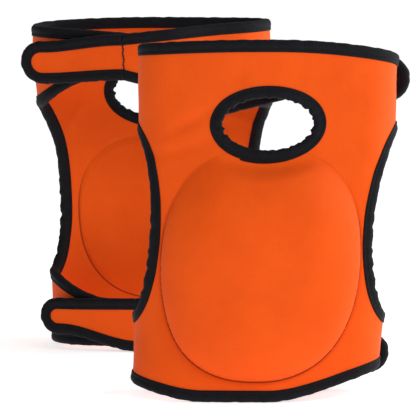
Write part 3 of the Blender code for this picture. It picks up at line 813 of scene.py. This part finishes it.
def seam_stitch(pad, band, low, high):
    """Heavy thread down the sewn end of the wing, in short slanting stitches."""
    bottom, top = float(low(SEAM)) + 0.0072, float(high(SEAM)) - 0.0072
    count = int((top - bottom) / 0.0024)
    shares = np.linspace(0, 1, 7)
    turns = np.arange(8) * math.pi / 4
    radius = 0.00055 * np.sqrt(np.maximum(0.04, 1 - (2 * shares - 1) ** 4))
    points, faces, places = [], [], []
    for number in range(count):
        z0 = bottom + (top - bottom) * number / count
        slant = 0.0004 * math.sin(2.3 * number)
        z = z0 + shares * 0.0029
        u = SEAM - 0.0008 + slant * (2 * shares - 1) + 0.0002 * math.sin(1.7 * number)
        out = CLOTH / 2 + 0.0004 - 0.0005 * (2 * shares - 1) ** 2
        ring = on_wing(pad, u[:, None] + radius[:, None] * np.cos(turns), z[:, None] + 0 * turns,
                       out[:, None] + radius[:, None] * np.sin(turns))
        index = len(points) * ring[..., 0].size + np.arange(ring[..., 0].size).reshape(ring.shape[:2])
        around = np.roll(index, -1, axis=1)
        faces += np.stack([index[:-1], index[1:], around[1:], around[:-1]], -1).reshape(-1, 4).tolist()
        faces += [tuple(index[0][::-1]), tuple(index[-1])]
        points.append(ring.reshape(-1, 3))
        places.append(np.stack(np.broadcast_arrays(z[:, None], turns * 0.0004, 0.0), -1).reshape(-1, 3))
    mesh = mesh_of(f"{band}_seam_stitch", np.concatenate(points), faces, np.concatenate(places))
    turn_outwards(mesh)
    return finish_piece(pad, f"{band}_seam_stitch", mesh, "thread")


def patch_places(start, end, low, high):
    u = np.linspace(start, end, 40)
    share = np.linspace(0, 1, 14)[:, None]
    z = low(u) + PATCH_MARGIN + share * (high(u) - low(u) - 2 * PATCH_MARGIN)
    return np.broadcast_to(u, z.shape).copy(), z


def tab(pad, band, low, high):
    """The fastening tab, with its hook tape on the inside."""
    end = SEAM + TAB_LENGTH
    radius = float(high(end) - low(end)) / 2
    u, z = band_places(SEAM, end, low, high, radius)
    cloth = slab(pad, f"{band}_tab", on_wing, u, z, CLOTH / 2, -CLOTH / 2, "neoprene")
    edge = tape(pad, f"{band}_tab_binding", on_wing, end_path(SEAM, end, low, high, radius),
                (0.0003, 0.0002, 0.009))
    u, z = patch_places(SEAM + HOOK_PATCH[0], SEAM + HOOK_PATCH[1], low, high)
    hooks = slab(pad, f"{band}_hook_patch", on_wing, u, z, -CLOTH / 2 - PATCH_LIFT, -CLOTH / 2 - PATCH,
                 "hook")
    for piece in (cloth, edge, hooks):
        bend_at_seam(pad, piece)
    width = float(high(SEAM) - low(SEAM))


def flap(pad, band, low, high):
    """The short flap, with its loop tape on the outside."""
    u, z = band_places(0.0, FLAP_LENGTH, low, high, FLAP_CORNER)
    cloth = slab(pad, f"{band}_flap", on_flap, u, z, CLOTH / 2, -CLOTH / 2, "neoprene")
    edge = tape(pad, f"{band}_flap_binding", on_flap, end_path(0.0, FLAP_LENGTH, low, high, FLAP_CORNER),
                (0.0002, 0.00015, 0.011))
    u, z = patch_places(*LOOP_PATCH, low, high)
    loops = slab(pad, f"{band}_loop_patch", on_flap, u, z, CLOTH / 2 + PATCH, CLOTH / 2 + PATCH_LIFT,
                 "loop")
    for piece in (cloth, edge, loops):
        bend_at_side(piece, 1)
    run = np.linspace(0, FLAP_LENGTH, 50)
    float(np.mean(high(run) - low(run)))


def bands(pad):
    top_left, top_right = float(top_edge(pad, -QUARTER)), float(top_edge(pad, QUARTER))
    cut_low, cut_high = CUT_CENTRE_Z - CUT_HALF_HEIGHT, CUT_CENTRE_Z + CUT_HALF_HEIGHT
    wing_foot, flap_foot = float(hem(pad, -QUARTER)), float(hem(pad, QUARTER))
    ends = WING_ENDS["upper"] + WING_ENDS["lower"]
    wing(pad, "upper", line_between(cut_high, ends[0], SEAM), line_between(top_left, ends[1], SEAM))
    wing(pad, "lower", line_between(wing_foot, ends[2], SEAM), line_between(cut_low, ends[3], SEAM))
    for band in ("upper", "lower"):
        edges = [settling(seam, tip, SEAM) for seam, tip in zip(WING_ENDS[band], TAB_ENDS[band])]
        tab(pad, band, *edges)
    ends = FLAP_ENDS["upper"] + FLAP_ENDS["lower"]
    flap(pad, "upper", settling(cut_high, ends[0]), line_between(top_right, ends[1], FLAP_LENGTH))
    flap(pad, "lower", line_between(flap_foot, ends[2], FLAP_LENGTH), settling(cut_low, ends[3]))


# ---------------------------------------------------------------- the pair

def pad_frame(name, turn, seed):
    """A pad's origin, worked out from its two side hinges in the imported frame."""
    hinges = {joint["name"]: joint["pos_m"] for joint in frame["joints"] if joint["type"] == "hinge"}
    left = np.array(hinges[f"{name}_upper_strap_swing"])
    right = np.array(hinges[f"{name}_upper_flap_swing"])
    middle = (left + right) / 2
    local = np.array([LEAN * (middle[2] - HEIGHT / 2), HALF_DEPTH, middle[2]])
    return {"name": name, "turn": turn, "seed": seed,
            "origin": middle - local * np.array([turn, turn, 1.0])}


def knee_pad(name, turn, seed):
    pad = pad_frame(name, turn, seed)
    shell, lining = front_panel(pad)
    tapes = front_tapes(pad)
    foam_pad(pad, "foam_core", *FOAM_CORE, "eva_foam")
    foam_pad(pad, "comfort_foam", *COMFORT_FOAM, "comfort_foam")
    bands(pad)


# ---------------------------------------------------------------- stage

def studio_world(towards, dim, bright):
    """A white room that is bright on one side, like a wall of soft boxes."""
    world = bpy.data.worlds.new("studio")
    world.use_nodes = True
    tree = world.node_tree
    place = tree.nodes.new("ShaderNodeTexCoord")
    facing = tree.nodes.new("ShaderNodeVectorMath")
    facing.operation = "DOT_PRODUCT"
    facing.inputs[1].default_value = towards
    tree.links.new(place.outputs["Generated"], facing.inputs[0])
    strength = tree.nodes.new("ShaderNodeMapRange")
    strength.interpolation_type = "SMOOTHSTEP"
    for socket, value in (("From Min", -1.0), ("From Max", 1.0), ("To Min", dim), ("To Max", bright)):
        strength.inputs[socket].default_value = value
    tree.links.new(facing.outputs["Value"], strength.inputs["Value"])
    tree.links.new(strength.outputs["Result"], tree.nodes["Background"].inputs["Strength"])
    tree.nodes["Background"].inputs["Color"].default_value = (1, 1, 1, 1)
    return world


def stage():
    mesh = bpy.data.meshes.new("floor")
    corners = [(-1, -1), (1, -1), (1, 1), (-1, 1)]
    mesh.from_pydata([(x * FLOOR_HALF, y * FLOOR_HALF, 0) for x, y in corners], [], [(0, 1, 2, 3)])
    floor = bpy.data.objects.new("floor", mesh)
    bpy.context.scene.collection.objects.link(floor)
    material = bpy.data.materials.new("pale_floor")
    material.use_nodes = True
    shader = material.node_tree.nodes["Principled BSDF"]
    shader.inputs["Base Color"].default_value = (0.9, 0.9, 0.9, 1)
    shader.inputs["Roughness"].default_value = 0.8
    shader.inputs["Emission Color"].default_value = (1, 1, 1, 1)
    shader.inputs["Emission Strength"].default_value = FLOOR_GLOW
    mesh.materials.append(material)

    bpy.context.scene.world = studio_world(ROOM_BRIGHT_SIDE, ROOM_DIM, ROOM_BRIGHT)
    bpy.context.scene.view_settings.view_transform = "Standard"

    for name, place, size, power in LAMPS:
        light = bpy.data.lights.new(name, "AREA")
        light.shape, light.size, light.energy = "DISK", size, power
        lamp = bpy.data.objects.new(name, light)
        lamp.location = place
        aim = np.array(LAMP_AIM) - np.array(place)
        lamp.rotation_euler = (math.atan2(np.hypot(aim[0], aim[1]), -aim[2]), 0,
                               math.atan2(aim[1], aim[0]) - math.pi / 2)
        bpy.context.scene.collection.objects.link(lamp)


def camera():
    lens = bpy.data.cameras.new("camera")
    lens.sensor_width, lens.lens = SENSOR, LENS
    eye = bpy.data.objects.new("camera", lens)
    eye.location = EYE
    eye.rotation_euler = (math.radians(90 - LOOKING_DOWN), 0, 0)
    bpy.context.scene.collection.objects.link(eye)
    bpy.context.scene.camera = eye


camera()
stage()
knee_pad("right", 1.0, 11)
knee_pad("left", -1.0, 29)
